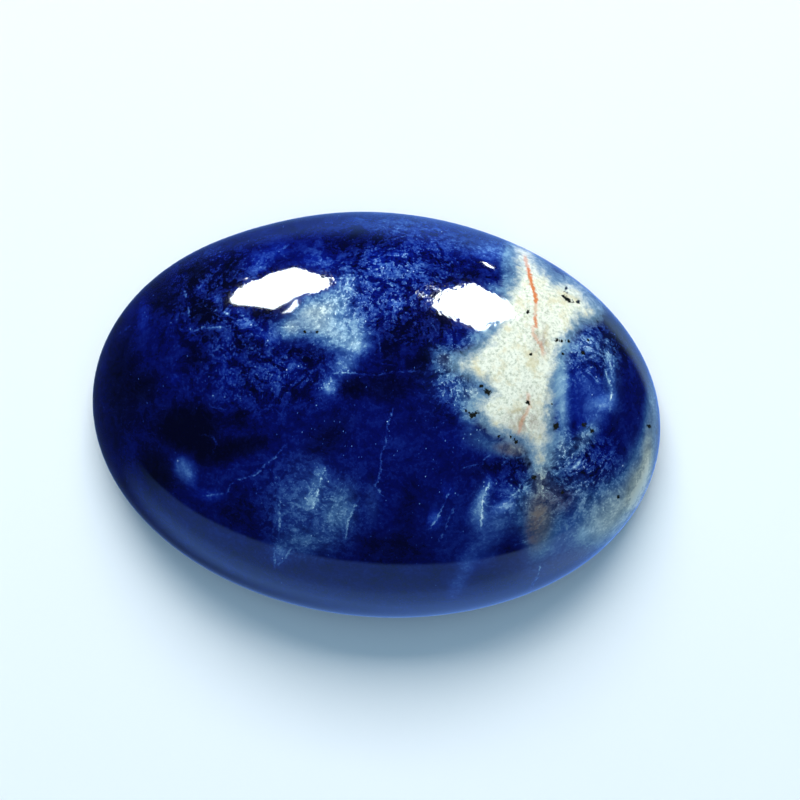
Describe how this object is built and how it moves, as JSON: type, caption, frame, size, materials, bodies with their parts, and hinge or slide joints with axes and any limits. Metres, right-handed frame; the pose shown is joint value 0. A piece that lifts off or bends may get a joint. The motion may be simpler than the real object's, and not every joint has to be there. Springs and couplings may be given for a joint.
{
  "type": "sodalite cabochon",
  "caption": "Polished oval cabochon of blue sodalite with a cream vein, a high dome, an upright girdle, a rounded lower edge and a flat back to rest on or set into a mount.",
  "frame": {"origin": "middle of the flat back, on the surface that the stone rests on", "axes": "+X along the oval's long axis, towards the end where the cream vein runs to the right of the middle; +Y along its short axis, towards the side where the vein meets the rim; +Z out of the dome"},
  "size_m": [0.036, 0.0256, 0.0108],
  "materials": {
    "sodalite": "polished"
  },
  "bodies": {
    "root": {"stone": "sodalite"}
  },
  "joints": []
}
